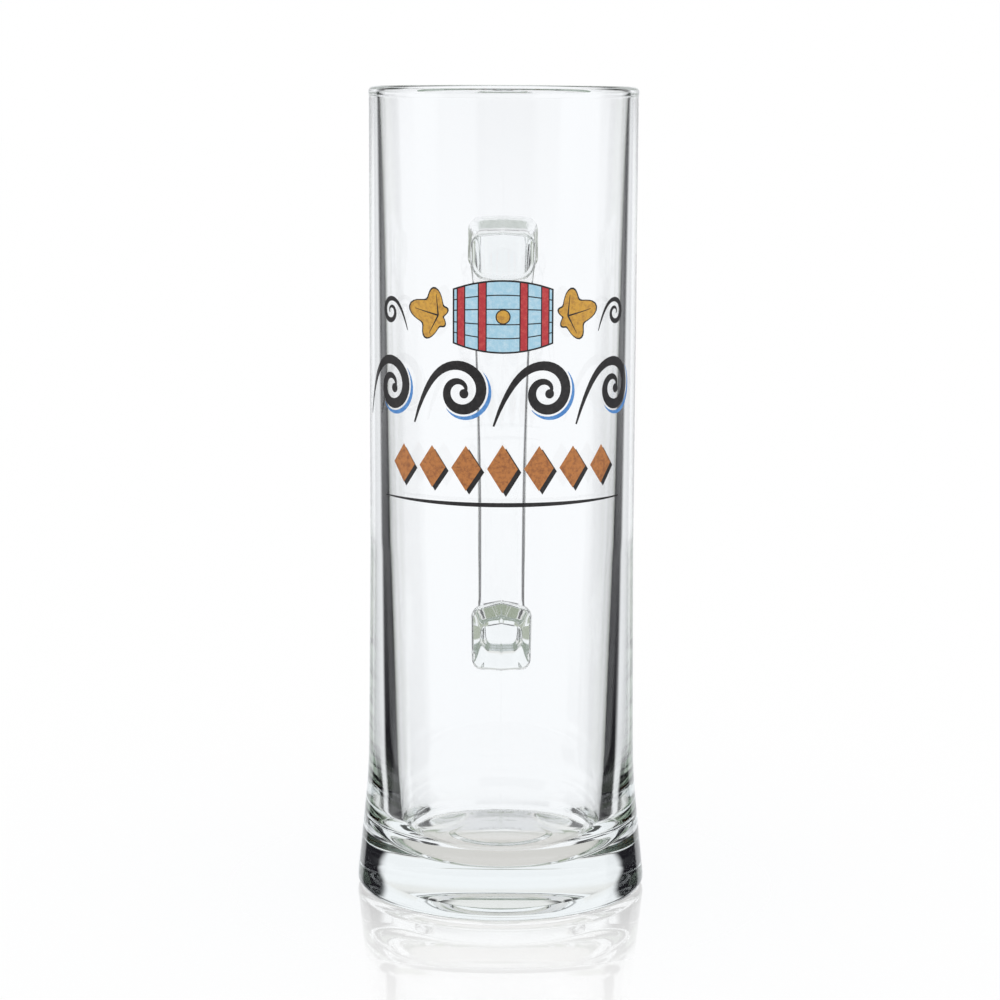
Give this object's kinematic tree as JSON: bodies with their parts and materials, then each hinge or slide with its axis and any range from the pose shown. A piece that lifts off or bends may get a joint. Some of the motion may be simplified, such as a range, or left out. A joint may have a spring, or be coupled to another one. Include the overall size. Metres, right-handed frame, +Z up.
{
  "type": "beer mug",
  "caption": "Tall straight-sided glass beer mug with a thick base, a flared foot, a strap handle fused at two pads and a fired enamel print on the front.",
  "frame": {"origin": "on the mug's axis at the table, the middle of the contact ring under the base", "axes": "+Z up along the mug's axis, +Y towards the handle, -Y towards the printed front"},
  "size_m": [0.0774, 0.1131, 0.213],
  "materials": {
    "glass": "clear pressed soda-lime glass, fire-polished",
    "enamel_black": "glossy fired black enamel",
    "enamel_blue": "glossy fired mid-blue enamel",
    "enamel_light_blue": "glossy fired light-blue enamel",
    "enamel_red": "glossy fired red enamel",
    "enamel_gold": "glossy fired gold-amber enamel",
    "enamel_orange": "glossy fired orange-brown enamel"
  },
  "bodies": {
    "root": {"glass_body": "glass", "handle": "glass", "print_black": "enamel_black", "print_blue": "enamel_blue", "print_light_blue": "enamel_light_blue", "print_red": "enamel_red", "print_gold": "enamel_gold", "print_orange": "enamel_orange"}
  },
  "joints": []
}
